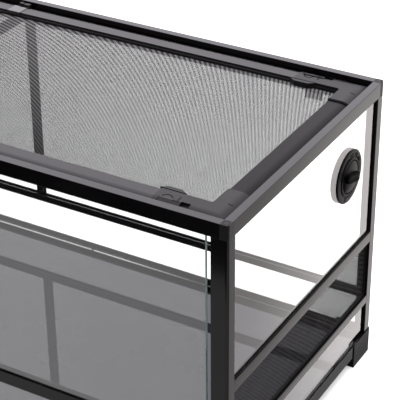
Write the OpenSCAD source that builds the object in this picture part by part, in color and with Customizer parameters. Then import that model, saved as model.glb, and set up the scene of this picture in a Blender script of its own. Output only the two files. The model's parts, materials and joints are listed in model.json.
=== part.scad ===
// Framed glass vivarium with a lift-off screen top, two hinged glass doors,
// screened side vents, rotary side vents and cable inlets in the screen corners.
// Origin: middle of the footprint, on the surface it stands on. X is the long side, -Y the front, +Z up.

/* [Size] */
// Outside width of the frame
tank_w = 1225; // [1000:1:1500]
// Outside depth of the frame
tank_d = 457; // [420:1:600]
// Height from the surface under the feet to the top of the frame
tank_h = 468; // [440:1:600]

/* [Frame] */
// Width of the top rail, seen from above
rail_w = 12; // [12:0.5:14]
// Height of the top rail
rail_h = 21.5; // [20:0.5:26]
// Width of a post, seen from the front
post_w = 24.5; // [24:0.5:30]
// Width of a back post, seen from the back
post_wb = 17.5; // [17.5:0.5:30]
// Width of a post, seen from the side
post_d = 18; // [17.5:0.5:24]
// Radius of the rounded outer edge of posts and corners
edge_r = 4; // [1:0.5:5]
// Height of the underside of the bottom rail
sill_z0 = 19.3; // [18:0.1:22]
// Height of the top of the bottom rail
sill_z1 = 38.9; // [36:0.1:44]
// Depth of the door sill, from the outside face inwards
bar_d = 15; // [14:0.5:18]
// Depth of the side bars
side_d = 9.5; // [9.5:0.5:15]
// Underside of the bar below the side screen
bar_b0 = 98.4; // [90:0.1:100]
// Top of the bar below the side screen
bar_b1 = 112; // [110:0.1:116]
// Underside of the bar above the side screen
bar_a0 = 208.7; // [200:0.1:230]
// Top of the bar above the side screen
bar_a1 = 226; // [222:0.1:250]
// Underside of the door sill
cross_z0 = 100.5; // [96:0.1:102]
// Top of the door sill
cross_z1 = 120; // [116:0.1:124]
// Underside of the rear cross rail
back_z0 = 99.8; // [96:0.1:102]
// Top of the rear cross rail
back_z1 = 111.6; // [110:0.1:118]
// Depth of the rear cross rail and the centre post
back_d = 11; // [11:0.5:15]
// Width of the centre post at the back
mullion_w = 12.4; // [12:0.2:26]
// Width of the beam under the screen
beam_w = 20; // [16:1:34]
// Height of the beam under the screen
beam_h = 6; // [6:0.5:10]

/* [Feet] */
// Length of each arm of a foot
foot_l = 57; // [45:1:80]
// Height of a foot
foot_h = 42; // [40:1:46]
// How far a foot stands out past the frame
foot_out = 1.5; // [0.5:0.5:3]

/* [Glass] */
// Thickness of the fixed panes
glass_t = 4; // [3:0.5:4]
// Thickness of the door glass
door_t = 5; // [4:0.5:5]
// Gap between a door and its post
door_gap = 9; // [3:0.1:10]
// Gap between the two doors
door_split = 4; // [3:0.5:8]

/* [Screen top] */
// Width of the screen frame, seen from above
scr_w = 35.4; // [32:0.2:40]
// Height of the crown of the screen frame below the top of the tank
scr_drop = 5; // [4:0.5:7]
// Length of a screen corner along the front and back
corner_lx = 109; // [100:1:120]
// Length of a screen corner along the sides
corner_ly = 74; // [64:1:90]
// Travel of a cable inlet slider
slider_travel = 12; // [6:1:13]

/* [Rotary vent] */
// Outside radius of the vent flange
vent_r = 40.2; // [38:0.2:44]
// Radius of the turning dial
dial_r = 28; // [24:0.5:30]
// Distance of the vent centre behind the middle of the tank
vent_y = 128.3; // [60:0.1:130]
// Height of the vent centre
vent_z = 359.7; // [320:0.1:380]

/* [Hidden] */
$fn = 64;
W2 = tank_w / 2;
D2 = tank_d / 2;
H = tank_h;
rz0 = H - rail_h;              // underside of the top rails
seat = rz0 + 3;                // ledge that the screen rests on
px = W2 - post_w;              // inner face of the posts across the front
pxb = W2 - post_wb;            // the same across the back
py = D2 - post_d;              // inner face of the posts along the sides
gd0 = 3.6;                     // outer face of the fixed glass, from outside
gd1 = gd0 + glass_t;           // inner face of the fixed glass
slot0 = 1.6;                   // outer wall of a glazing channel
slot1 = gd1 + 0.3;             // inner wall of a glazing channel
bite = 6;                      // how far glass enters a channel
bb = 4.5;                      // the same at the centre post and the rear cross rail
zs = H - scr_drop;             // crown of the screen frame
zb = seat + 0.2;               // underside of the screen frame
so = rail_w + 0.6;             // outer edge of the screen frame, from outside
si = so + scr_w;               // inner edge of the screen frame, from outside
zm = zs - 8;                   // level of the screen cloth
cw = 1.4;                      // extra width of a screen corner
door_x1 = px - door_gap;       // hinge edge of a door
door_x0 = door_split / 2;      // meeting edge of a door
door_d = 3;                    // outer face of a door, from the front
door_z0 = cross_z1 + 3;
door_z1 = rz0 - 2.2;
piv_x = door_x1 - 8;           // door pivot
piv_y = -D2 + door_d + door_t / 2;
pin_r = 2;
pin_gap = 0.05;
lock_x = 18;                   // lock centre, from the middle of the front
lock_z = (door_z0 + door_z1) / 2;
alu = [0.16, 0.155, 0.165];
blk = [0.06, 0.06, 0.065];
gls = [0.75, 0.86, 0.84, 0.35];

// ---- helpers -------------------------------------------------------------
// section drawn as (distance in from outside, height), run along the right side
module along_y(y0, y1) translate([0, y1, 0]) rotate([90, 0, 0]) linear_extrude(y1 - y0) translate([W2, 0]) mirror([1, 0]) children();
// same section run along the front
module along_x(x0, x1) translate([x0, 0, 0]) rotate([90, 0, 90]) linear_extrude(x1 - x0) translate([-D2, 0]) children();
module rect(a, b, c, d) translate([a, c]) square([b - a, d - c]);
module box(x0, x1, y0, y1, z0, z1) translate([x0, y0, z0]) cube([x1 - x0, y1 - y0, z1 - z0]);
module left() mirror([1, 0, 0]) children();
module back() mirror([0, 1, 0]) children();
module four() { children(); left() children(); back() children(); back() left() children(); }

// ---- sections ------------------------------------------------------------
module top_section(glazed) difference() {
    union() { rect(0, rail_w, rz0, H); rect(rail_w - 0.1, rail_w + 10, rz0, seat); }
    if (glazed) { rect(slot0, rail_w - 1.6, rz0 + 2, H - 1.6); rect(slot0, slot1, rz0 - 1, rz0 + 3); }
    else rect(slot0, rail_w - 1.6, rz0 + 4, H - 1.6);
}
module bottom_section() difference() {
    union() {
        rect(0, 11, sill_z0, sill_z1);
        rect(10.9, post_d, sill_z0, sill_z0 + 4.9);
        rect(post_d - 0.1, post_d + 12, sill_z0, sill_z0 + 1.7);
    }
    rect(slot0, slot1, sill_z1 - 12, sill_z1 + 1);
    // the wall inside the glass is lower than the one outside it
    rect(slot1 - 0.01, 12, sill_z0 + 11, sill_z1 + 1);
    rect(1.6, 9.4, sill_z0 + 1.6, sill_z1 - 13.5);
    rect(9.3, post_d - 1.6, sill_z0 + 1.6, sill_z0 + 3.3);
}
// middle rail with a channel above and below
module bar_section(z0, z1) difference() {
    rect(0, side_d, z0, z1);
    rect(slot0, slot1, z1 - bite - 0.3, z1 + 1);
    rect(slot0, slot1, z0 - 1, z0 + bite);
}
module sill_section() difference() {
    rect(0, bar_d, cross_z0, cross_z1);
    rect(slot0, slot1, cross_z0 - 1, cross_z0 + bite + 1);
    rect(slot1 + 1.4, bar_d - 1.4, cross_z0 + 1.4, cross_z1 - 1.4);
}
// crown of the screen frame; e is the extra thickness of a corner or splice
function crown(e) = [for (i = [0:9]) let (a = 90 - i * 10) [so + 17 - 17 * sin(a), zs + e - 10.5 + 10.5 * cos(a)]];
module screen_section(e, w) polygon(concat([[so, zb]], crown(e), [[so + w - 2, zs + e], [so + w - 2, zs - 3.7], [so + w, zs - 3.7], [so + w, zb]]));
module full_section(e, w) polygon(concat([[so, zb]], crown(e), [[so + w, zs + e], [so + w, zb]]));
module screen_hollow(g) rect(so + 6 + g, so + 28 - g, zb + 1.6 + g, zb + 7 - g);

// ---- frame ---------------------------------------------------------------
module rail_fb(glazed) difference() {
    along_x(-W2 + rail_w, W2 - rail_w) top_section(glazed);
    if (!glazed) for (s = [-1, 1]) translate([s * piv_x, piv_y, rz0 - 1]) cylinder(r = pin_r, h = 6);
}
module rail_side() along_y(-D2 + rail_w, D2 - rail_w) top_section(true);
module top_rail_front() color(alu) difference() {
    rail_fb(false);
    for (s = [-1, 1]) box(min(s * (W2 - rail_w - 12), s * W2), max(s * (W2 - rail_w - 12), s * W2), -D2 + rail_w, -D2 + rail_w + 12, rz0 - 1, seat + 1);
}
module top_rail_back() color(alu) back() difference() {
    rail_fb(true);
    for (s = [-1, 1]) box(min(s * (W2 - rail_w - 12), s * W2), max(s * (W2 - rail_w - 12), s * W2), -D2 + rail_w, -D2 + rail_w + 12, rz0 - 1, seat + 1);
}
module top_rail_right() color(alu) rail_side();
module top_rail_left() left() top_rail_right();
// one three-way corner: a block with a plug for each rail and for the post
module corner_one() {
    difference() {
        box(W2 - rail_w, W2, -D2, -D2 + rail_w, rz0, H);
        difference() {
            box(W2 - edge_r, W2 + 1, -D2 - 1, -D2 + edge_r, rz0 - 1, H + 1);
            translate([W2 - edge_r, -D2 + edge_r, rz0 - 2]) cylinder(r = edge_r, h = rail_h + 4);
        }
        translate([W2 - rail_w / 2, -D2 + rail_w / 2, H - 0.8]) difference() { cylinder(r = 4.6, h = 2); translate([0, 0, -1]) cylinder(r = 4, h = 4); }
    }
    box(W2 - rail_w - 20, W2 - rail_w + 0.01, -D2 + 2.4, -D2 + rail_w - 2, rz0 + 7, H - 2);
    box(W2 - rail_w + 2, W2 - 2.4, -D2 + rail_w - 0.01, -D2 + rail_w + 20, rz0 + 7, H - 2);
    box(W2 - rail_w + 2.3, W2 - 2.4, -D2 + 2.4, -D2 + rail_w - 2.3, rz0 - 26, rz0 + 0.01);
}
module corner_connectors() color(blk) four() corner_one();

module post_fr(pw, lower_slot) difference() {
    box(W2 - pw, W2, -D2, -py, 8, rz0);
    difference() {
        box(W2 - edge_r, W2 + 1, -D2 - 1, -D2 + edge_r, 7, H);
        translate([W2 - edge_r, -D2 + edge_r, 6]) cylinder(r = edge_r, h = H);
    }
    box(W2 - pw + 7.5, W2 - 2, -D2 + 2, -D2 + post_d - 7.5, 7, H);
    // channel for the side glass and side screen
    box(W2 - slot1, W2 - slot0, -py - bite, -py + 1, 7, H);
    // channel across the tank
    box(W2 - pw - 1, W2 - pw + bite, -D2 + slot0, -D2 + slot1, 7, lower_slot ? cross_z1 : H);
}
module post_front_right() color(alu) post_fr(post_w, true);
module post_front_left() left() post_front_right();
module post_back_right() color(alu) back() post_fr(post_wb, false);
module post_back_left() left() post_back_right();

module foot_fr(pw) difference() {
    union() {
        box(W2 - foot_l, W2 + foot_out, -D2 - foot_out, -D2 + 21, 0, foot_h);
        box(W2 - 27, W2 + foot_out, -D2 - foot_out, -D2 + foot_l, 0, foot_h);
    }
    difference() {
        box(W2 + foot_out - 5, W2 + 5, -D2 - 5, -D2 - foot_out + 5, -1, foot_h + 1);
        translate([W2 + foot_out - 5, -D2 - foot_out + 5, -2]) cylinder(r = 5, h = foot_h + 4);
    }
    // seat of the post, following its rounded edge
    difference() {
        box(W2 - pw - 0.05, W2, -D2, -py + 0.05, 8, foot_h + 1);
        difference() {
            box(W2 - edge_r, W2 + 1, -D2 - 1, -D2 + edge_r, 6, foot_h + 2);
            translate([W2 - edge_r, -D2 + edge_r, 5]) cylinder(r = edge_r, h = foot_h + 4);
        }
    }
    // seats of the two bottom rails, open above and inside
    box(W2 - foot_l - 1, W2 - pw + 1, -D2, -D2 + 40, sill_z0, foot_h + 1);
    box(W2 - 50, W2, -py - 1, -D2 + foot_l + 1, sill_z0, foot_h + 1);
    // recess for the grip under the foot
    for (p = [[W2 - 14, -D2 + 40], [W2 - 43, -D2 + 10], [W2 - 14, -D2 + 11]]) translate([p[0], p[1], -1]) cylinder(r = 5, h = 2.5);
}
module foot_front_right() color(blk) foot_fr(post_w);
module foot_front_left() left() foot_front_right();
module foot_back_right() color(blk) back() foot_fr(post_wb);
module foot_back_left() left() foot_back_right();

module bottom_rail_front() color(alu) along_x(-px, px) bottom_section();
module bottom_rail_back() color(alu) back() along_x(-pxb, pxb) bottom_section();
module bottom_rail_right() color(alu) difference() {
    along_y(-py, py) bottom_section();
    for (s = [-1, 1]) box(W2 - 40, W2 - post_wb + 0.5, min(s * (py - 12.2), s * D2), max(s * (py - 12.2), s * D2), 0, sill_z0 + 5);
}
module bottom_rail_left() left() bottom_rail_right();
module floor_panel() color([0.55, 0.55, 0.57]) box(-W2 + post_d + 0.5, W2 - post_d - 0.5, -D2 + post_d + 0.5, D2 - post_d - 0.5, sill_z0 + 1.7, sill_z0 + 5.7);

module back_cross_rail() color(alu) back() along_x(-pxb, pxb) difference() {
    rect(0, back_d, back_z0, back_z1);
    rect(slot0, slot1, back_z1 - bb - 0.3, back_z1 + 1);
    rect(slot0, slot1, back_z0 - 1, back_z0 + bb);
}
module door_sill() color(alu) difference() {
    along_x(-px, px) sill_section();
    for (s = [-1, 1]) translate([s * piv_x, piv_y, cross_z1 - 5]) cylinder(r = pin_r, h = 8);
}
module back_mullion() color(alu) difference() {
    box(-mullion_w / 2, mullion_w / 2, D2 - back_d, D2, back_z1, rz0);
    for (s = [-1, 1]) box(min(s * (mullion_w / 2 - bb), s * 40), max(s * (mullion_w / 2 - bb), s * 40), D2 - slot1, D2 - slot0, 0, H);
}
module side_bar_upper_right() color(alu) along_y(-py, py) bar_section(bar_a0, bar_a1);
module side_bar_upper_left() left() side_bar_upper_right();
module side_bar_lower_right() color(alu) along_y(-py, py) bar_section(bar_b0, bar_b1);
module side_bar_lower_left() left() side_bar_lower_right();
// flat beam from front to back under the screen, with a tongue under each ledge
module top_beam() color(alu) {
    box(-beam_w / 2, beam_w / 2, -D2 + rail_w + 10, D2 - rail_w - 10, seat - beam_h, seat);
    for (s = [-1, 1]) box(-beam_w / 2 + 3, beam_w / 2 - 3, min(s * (D2 - rail_w - 10.01), s * (D2 - bar_d - 0.4)), max(s * (D2 - rail_w - 10.01), s * (D2 - bar_d - 0.4)), rz0 - 4, rz0);
}

// ---- glass and screens in the frame ---------------------------------------
module pane_x(x0, x1, z0, z1) box(x0, x1, -D2 + gd0, -D2 + gd1, z0, z1);
module pane_y(z0, z1) box(W2 - gd1, W2 - gd0, -py - bite + 0.5, py + bite - 0.5, z0, z1);
module glass_back_upper_right() color(gls) back() pane_x(mullion_w / 2 - bb + 0.5, pxb + bite - 0.5, back_z1 - bb, rz0 + 5);
module glass_back_upper_left() left() glass_back_upper_right();
module glass_back_lower() color(gls) back() pane_x(-pxb - bite + 0.5, pxb + bite - 0.5, sill_z1 - 11.5, back_z0 + bb - 0.3);
module glass_front_lower() color(gls) pane_x(-px - bite + 0.5, px + bite - 0.5, sill_z1 - 11.5, cross_z0 + bite - 0.3);
module glass_side_upper_right() color(gls) difference() {
    pane_y(bar_a1 - bite, rz0 + 5);
    translate([W2 - 20, vent_y, vent_z]) rotate([0, 90, 0]) cylinder(r = dial_r + 3, h = 30);
}
module glass_side_upper_left() left() glass_side_upper_right();
module glass_side_lower_right() color(gls) pane_y(sill_z1 - 11.5, bar_b0 + bite - 0.3);
module glass_side_lower_left() left() glass_side_lower_right();
// flat metal cloth in a narrow black frame
module side_screen_right() {
    color(blk) difference() {
        box(W2 - gd1 - 0.1, W2 - gd0 - 0.1, -py - bite + 0.5, py + bite - 0.5, bar_b1 - bite, bar_a0 + bite - 0.3);
        box(W2 - 20, W2, -py + 4, py - 4, bar_b1 + 4, bar_a0 - 4);
    }
    color([0.2, 0.2, 0.2]) box(W2 - gd0 - 2.5, W2 - gd0 - 1.7, -py + 4, py - 4, bar_b1 + 4, bar_a0 - 4);
}
module side_screen_left() left() side_screen_right();
// flat rings pressed between the channel wall and the outer face of a pane
module ring_y(z0, z1, b0, b1) difference() {
    box(W2 - gd0, W2 - slot0, -py - 4, py + 4, z0 - b0, z1 + b1);
    box(W2 - gd0 - 1, W2, -py + 0.8, py - 0.8, z0 + 0.8, z1 - 0.8);
}
module ring_x(x0, x1, z0, z1, a0, a1, b0, b1) difference() {
    box(x0 - a0, x1 + a1, -D2 + slot0, -D2 + gd0, z0 - b0, z1 + b1);
    box(x0 + 0.8, x1 - 0.8, -D2, -D2 + gd0 + 1, z0 + 0.8, z1 - 0.8);
}
module glazing_gaskets() color([0.03, 0.03, 0.03]) {
    for (m = [0, 1]) mirror([m, 0, 0]) {
        ring_y(bar_a1, rz0, 4, 2);
        ring_y(bar_b1, bar_a0, 4, 4);
        ring_y(sill_z1, bar_b0, 4, 4);
        back() ring_x(mullion_w / 2, pxb, back_z1, rz0, bb - 0.5, 4, bb - 0.5, 2);
    }
    back() ring_x(-pxb, pxb, sill_z1, back_z0, 4, 4, 4, bb - 0.5);
    ring_x(-px, px, sill_z1, cross_z0, 4, 4, 4, 4);
}

// ---- doors ---------------------------------------------------------------
module door_glass_right() color(gls) difference() {
    box(door_x0, door_x1, -D2 + door_d, -D2 + door_d + door_t, door_z0, door_z1);
    translate([lock_x, -D2 + 20, lock_z]) rotate([90, 0, 0]) cylinder(r = 5, h = 30);
}
module door_glass_left() color(gls) left() box(door_x0, door_x1, -D2 + door_d, -D2 + door_d + door_t, door_z0, door_z1);
// angle clips bonded to the hinge corners of the glass, each with a bore for its pin
module door_shoes_right() color(blk) {
    difference() {
        box(door_x1 - 22, door_x1, -D2 + door_d, -D2 + door_d + door_t + 1.4, door_z1 - 2.5, door_z1 + 1.7);
        box(door_x1 - 23, door_x1 + 1, -D2 + door_d - 1, -D2 + door_d + door_t, door_z1 - 7, door_z1);
        translate([piv_x, piv_y, door_z1 - 0.5]) cylinder(r = pin_r + pin_gap, h = 8);
    }
    difference() {
        box(door_x1 - 22, door_x1, -D2 + door_d, -D2 + door_d + door_t + 1.4, door_z0 - 2.4, door_z0 + 6);
        box(door_x1 - 23, door_x1 + 1, -D2 + door_d - 1, -D2 + door_d + door_t, door_z0, door_z0 + 7);
        translate([piv_x, piv_y, door_z0 - 7]) cylinder(r = pin_r + pin_gap, h = 7.5);
    }
}
module door_shoes_left() left() door_shoes_right();
module door_pins() color([0.6, 0.6, 0.62]) for (s = [-1, 1]) {
    translate([s * piv_x, piv_y, door_z1 + 0.1]) cylinder(r = pin_r, h = rz0 + 4 - door_z1 - 0.1);
    translate([s * piv_x, piv_y, cross_z1 - 5]) cylinder(r = pin_r, h = door_z0 - 0.1 - cross_z1 + 5);
}
// turning lock on the right door: case outside, knob with shaft and cam
module door_lock_case() color(blk) difference() {
    union() {
        box(lock_x - 13, lock_x + 13, -D2 + door_d - 8, -D2 + door_d, lock_z - 30, lock_z + 30);
        translate([lock_x, -D2 + door_d + door_t, lock_z]) rotate([90, 0, 0]) cylinder(r = 4.95, h = door_t + 1);
    }
    translate([lock_x, -D2 + 30, lock_z]) rotate([90, 0, 0]) cylinder(r = 3, h = 60);
    for (s = [-1, 1]) translate([lock_x + 6, -D2 + door_d - 9, lock_z + s * 19]) rotate([-90, 0, 0]) cylinder(r = 7, h = 4);
}
module door_lock_knob() color([0.35, 0.35, 0.37]) {
    translate([lock_x, -D2 + door_d - 8.3, lock_z]) rotate([90, 0, 0]) cylinder(r = 8, h = 4);
    box(lock_x - 2, lock_x + 2, -D2 + door_d - 17, -D2 + door_d - 12, lock_z - 8, lock_z + 8);
    translate([lock_x, -D2 + door_d + door_t + 3, lock_z]) rotate([90, 0, 0]) cylinder(r = 2.95, h = door_t + 12);
    box(lock_x - 4.5, lock_x + 4.5, -D2 + door_d + door_t + 1, -D2 + door_d + door_t + 3, lock_z - 6, lock_z + 28);
}
module door_pull_left() color(blk) difference() {
    box(-lock_x - 13, -lock_x + 13, -D2 + door_d - 8, -D2 + door_d, lock_z - 30, lock_z + 30);
    for (s = [-1, 0, 1]) translate([-lock_x - 6, -D2 + door_d - 9, lock_z + s * 19]) rotate([-90, 0, 0]) cylinder(r = 7, h = 4);
}

// ---- screen top ----------------------------------------------------------
module scr_len_x(x1) difference() {
    along_x(-x1, x1) screen_section(0, scr_w);
    along_x(-x1 - 1, x1 + 1) screen_hollow(0);
}
module screen_rail_front() color(alu) scr_len_x(W2 - so - corner_lx + 1);
module screen_rail_back() back() screen_rail_front();
module screen_rail_right() color(alu) difference() {
    along_y(-D2 + so + corner_ly, D2 - so - corner_ly) screen_section(0, scr_w);
    along_y(-D2, D2) screen_hollow(0);
}
module screen_rail_left() left() screen_rail_right();
sl_x0 = W2 - 112.5;            // end of the slider away from the corner
sl_l = 31.5;                   // length of a slider
sd0 = so + 6.6;                // near edge of the slider channel, from outside
sd1 = so + 17;                 // far edge of the slider channel
module screen_corner_one() {
    w = scr_w + cw;
    difference() {
        union() {
            along_x(W2 - so - corner_lx + 1, W2 - so - w) screen_section(0.8, w);
            along_y(-D2 + so + w, -D2 + so + corner_ly) screen_section(0.8, w);
            intersection() {
                along_x(W2 - so - w - 0.01, W2 - so) full_section(0.8, w);
                along_y(-D2 + so, -D2 + so + w + 0.01) full_section(0.8, w);
            }
        }
        // slider channel and the cable hole that it covers
        box(sl_x0 - 1, sl_x0 + sl_l + slider_travel + 1, -D2 + sd0, -D2 + sd1, zs - 3.2, zs + 3);
        box(sl_x0 + 1, sl_x0 + 12, -D2 + 22.3, -D2 + sd1 - 0.2, zb - 1, zs - 2);
        // half-round finger notch behind the slider
        translate([sl_x0 + 9, -D2 + so, zs - 8]) cylinder(r = 7, h = 30);
        // half-moon groove and a straight one on the inner side of the slider, and a short mark on the arm
        intersection() {
            translate([sl_x0 + 9, -D2 + sd1, zs - 0.4]) difference() { cylinder(r = 7.8, h = 3); translate([0, 0, -1]) cylinder(r = 6.4, h = 5); }
            box(sl_x0, sl_x0 + 20, -D2 + sd1 - 0.1, -D2 + sd1 + 9, zs - 1, zs + 3);
        }
        box(sl_x0 + 24.4, sl_x0 + 25.8, -D2 + sd1 - 0.1, -D2 + sd1 + 8.6, zs - 0.4, zs + 3);
        box(sl_x0 + 83, sl_x0 + 91, -D2 + 52, -D2 + 53.3, zs - 0.6, zs + 3);
    }
    // inner edge widened beside the slider
    translate([0, 0, zm + 0.5]) linear_extrude(zs + 0.4 - zm) polygon([[sl_x0 - 12, -D2 + so + w - 0.2], [sl_x0 - 3, -D2 + so + w + 5.6], [sl_x0 + 18, -D2 + so + w + 5.6], [sl_x0 + 27, -D2 + so + w - 0.2]]);
    // two finger ribs on the outer slope
    for (i = [0, 1]) translate([sl_x0 + 29.5 + i * 17.5, -D2 + so + 2.8, zs - 5]) rotate([0, 90, 0]) cylinder(r = 2.6, h = 14.5);
    // slotted skirt below the inner edge, behind the cable hole
    difference() {
        box(sl_x0 + 12.5, sl_x0 + 39.5, -D2 + so + w - 2, -D2 + so + w, zb - 11, zb + 0.01);
        for (i = [0:7]) box(sl_x0 + 14.9 + i * 3, sl_x0 + 16.3 + i * 3, -D2 + so + w - 3, -D2 + so + w + 1, zb - 12, zb - 2);
    }
    // plugs into the hollow screen rails
    along_x(W2 - so - corner_lx - 20, W2 - so - corner_lx + 1.01) screen_hollow(0.25);
    along_y(-D2 + so + corner_ly - 0.01, -D2 + so + corner_ly + 20) screen_hollow(0.25);
}
module screen_corners() color(blk) four() screen_corner_one();
module inlet_slider_fr() difference() {
    along_x(sl_x0, sl_x0 + sl_l) polygon([[sd0 + 0.35, zs - 2.9], [sd1 - 0.35, zs - 2.9], [sd1 - 0.35, zs + 1.4], [sd1 - 3, zs + 1.6], [sd0 + 0.35, zs - 1.2]]);
    for (i = [0:3]) box(sl_x0 + 20 + i * 2.6, sl_x0 + 21.2 + i * 2.6, -D2 + sd0, -D2 + sd1, zs + 0.6, zs + 4);
}
module inlet_slider_front_right() color(blk) inlet_slider_fr();
module inlet_slider_front_left() left() inlet_slider_front_right();
module inlet_slider_back_right() back() inlet_slider_front_right();
module inlet_slider_back_left() back() left() inlet_slider_front_right();
// saddle over the middle of each long screen rail, with a finger tab to lift by
module splice_one() {
    along_x(-12.4, 12.4) difference() { full_section(0.8, scr_w); screen_section(0, scr_w); rect(so, so + 40, 0, zb + 2.7); }
    difference() {
        box(-8, 2, -D2 + so + 3, -D2 + so + 10, zs - 3.5, zs + 3.6);
        along_x(-20, 20) screen_section(0.3, scr_w);
    }
}
module screen_splices() color(blk) { splice_one(); back() splice_one(); }
module screen_mesh() color([0.35, 0.35, 0.35]) difference() {
    box(-W2 + si, W2 - si, -D2 + si, D2 - si, zm - 0.4, zm + 0.4);
    four() box(W2 - so - corner_lx + 1, W2, -D2, -D2 + si + cw, zm - 1, zm + 1);
    four() box(W2 - si - cw, W2, -D2, -D2 + so + corner_ly, zm - 1, zm + 1);
}

// ---- rotary vents --------------------------------------------------------
module at_vent() translate([W2, vent_y, vent_z]) rotate([0, -90, 0]) children();
module sector(r0, r1, a, z0, z1) intersection() {
    translate([0, 0, z0]) difference() { cylinder(r = r1, h = z1 - z0); translate([0, 0, -1]) cylinder(r = r0, h = z1 - z0 + 2); }
    translate([0, 0, z0 - 1]) linear_extrude(z1 - z0 + 2) polygon([[0, 0], [60, 60 * tan(a / 2)], [60, -60 * tan(a / 2)]]);
}
module vent_flange_one() at_vent() difference() {
    union() {
        translate([0, 0, 1.5]) cylinder(r = vent_r, h = gd0 - 1.5);
        translate([0, 0, 1.5]) cylinder(r = dial_r + 2.6, h = gd1 + 5.6);
    }
    translate([0, 0, -1]) cylinder(r = dial_r, h = 9);
    translate([0, 0, 10]) cylinder(r = dial_r, h = 10);
    for (i = [0:3]) rotate([0, 0, 15 + i * 90]) sector(9, 24, 44, 7, 12);
}
module vent_flanges() color(blk) { vent_flange_one(); left() vent_flange_one(); }
module vent_nut_one() at_vent() difference() {
    translate([0, 0, gd1]) cylinder(r = vent_r + 0.1, h = 6);
    translate([0, 0, gd1 - 1]) cylinder(r = dial_r + 2.7, h = 8);
}
module vent_nuts() color([0.5, 0.5, 0.5]) { vent_nut_one(); left() vent_nut_one(); }
module vent_dial_right() color(blk) at_vent() union() {
    difference() {
        translate([0, 0, 0.5]) cylinder(r = dial_r - 0.06, h = 7);
        for (i = [0:3]) rotate([0, 0, 60 + i * 90]) sector(9, 24, 44, 0, 9);
        translate([0, 0, 3.2]) cylinder(r = 8.6, h = 9);
    }
    // grip across the dial
    rotate([0, 0, 105]) translate([-24, -6, -7]) intersection() {
        cube([48, 12, 8]);
        translate([24, 6, 0]) cylinder(r = 24, h = 20);
    }
}
module vent_dial_left() left() vent_dial_right();

top_rail_front();
top_rail_back();
top_rail_left();
top_rail_right();
corner_connectors();
post_front_left();
post_front_right();
post_back_left();
post_back_right();
foot_front_left();
foot_front_right();
foot_back_left();
foot_back_right();
bottom_rail_front();
bottom_rail_back();
bottom_rail_left();
bottom_rail_right();
floor_panel();
back_mullion();
back_cross_rail();
door_sill();
side_bar_upper_left();
side_bar_upper_right();
side_bar_lower_left();
side_bar_lower_right();
top_beam();
glass_back_upper_left();
glass_back_upper_right();
glass_back_lower();
glass_front_lower();
glass_side_upper_left();
glass_side_upper_right();
glass_side_lower_left();
glass_side_lower_right();
side_screen_left();
side_screen_right();
glazing_gaskets();
door_glass_left();
door_glass_right();
door_shoes_left();
door_shoes_right();
door_pins();
door_pull_left();
door_lock_case();
door_lock_knob();
screen_rail_front();
screen_rail_back();
screen_rail_left();
screen_rail_right();
screen_corners();
screen_splices();
screen_mesh();
inlet_slider_front_left();
inlet_slider_front_right();
inlet_slider_back_left();
inlet_slider_back_right();
vent_flanges();
vent_nuts();
vent_dial_left();
vent_dial_right();
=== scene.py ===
import bpy, bmesh, json, math
import numpy as np
from mathutils import Matrix, Vector


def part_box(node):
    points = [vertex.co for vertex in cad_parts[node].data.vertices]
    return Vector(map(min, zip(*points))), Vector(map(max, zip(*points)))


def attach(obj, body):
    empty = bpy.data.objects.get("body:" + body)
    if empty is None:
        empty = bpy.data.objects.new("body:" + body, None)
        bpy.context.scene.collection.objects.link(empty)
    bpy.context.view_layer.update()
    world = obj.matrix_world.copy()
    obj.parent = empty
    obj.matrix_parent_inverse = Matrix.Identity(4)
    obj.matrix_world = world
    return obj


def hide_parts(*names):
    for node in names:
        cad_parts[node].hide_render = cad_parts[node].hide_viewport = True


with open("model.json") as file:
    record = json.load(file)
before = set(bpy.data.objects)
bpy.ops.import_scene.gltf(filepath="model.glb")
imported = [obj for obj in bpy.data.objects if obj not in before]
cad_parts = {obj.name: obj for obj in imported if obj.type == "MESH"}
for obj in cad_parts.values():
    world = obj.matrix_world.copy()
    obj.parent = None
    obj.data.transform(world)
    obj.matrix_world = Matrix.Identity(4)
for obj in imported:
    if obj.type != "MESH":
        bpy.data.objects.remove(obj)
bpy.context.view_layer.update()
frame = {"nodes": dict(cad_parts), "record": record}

D = bpy.data
SC = bpy.context.scene
NODES = frame["nodes"]

# ---------------------------------------------------------------- sizes (metres), as the frame has them
W2, D2, H = float(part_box("top_rail_right")[1][0]), 0.2285, 0.468
SO, SCRW = 0.0126, 0.0354
SI = SO + SCRW
ZS = H - 0.005
ZM = ZS - 0.008
VY, VZ = 0.1283, 0.3597

# ---------------------------------------------------------------- camera
AZ, EL, ROLL = math.radians(30.093), math.radians(30.375), math.radians(-0.389)
FPX = 1497.9
back = Vector((math.sin(AZ) * math.cos(EL), -math.cos(AZ) * math.cos(EL), math.sin(EL)))
right = Vector((0, 0, 1)).cross(back).normalized()
up = back.cross(right)
cr, sr = math.cos(ROLL), math.sin(ROLL)
rx, ry = right * cr + up * sr, up * cr - right * sr
cam = D.cameras.new("camera")
cam.sensor_width = 36.0
cam.lens = FPX / 400.0 * 36.0
cam.clip_start, cam.clip_end = 0.05, 60.0
cam_o = D.objects.new("camera", cam)
cam_o.matrix_world = Matrix((
    (rx.x, ry.x, back.x, W2 + 0.73326),
    (rx.y, ry.y, back.y, -1.56028),
    (rx.z, ry.z, back.z, 1.39592),
    (0, 0, 0, 1)))
SC.collection.objects.link(cam_o)
SC.camera = cam_o
SC.view_settings.view_transform = "Standard"
SC.view_settings.look = "None"

# ---------------------------------------------------------------- material helpers
def new_mat(name):
    m = D.materials.new(name)
    m.use_nodes = True
    nt = m.node_tree
    nt.nodes.clear()
    return m, nt


class N:
    """short hand for building a node tree"""
    def __init__(self, nt):
        self.nt = nt

    def __call__(self, kind, **kw):
        n = self.nt.nodes.new(kind)
        for k, v in kw.items():
            if hasattr(n, k):
                setattr(n, k, v)
        return n

    def link(self, a, b):
        self.nt.links.new(a, b)


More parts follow.
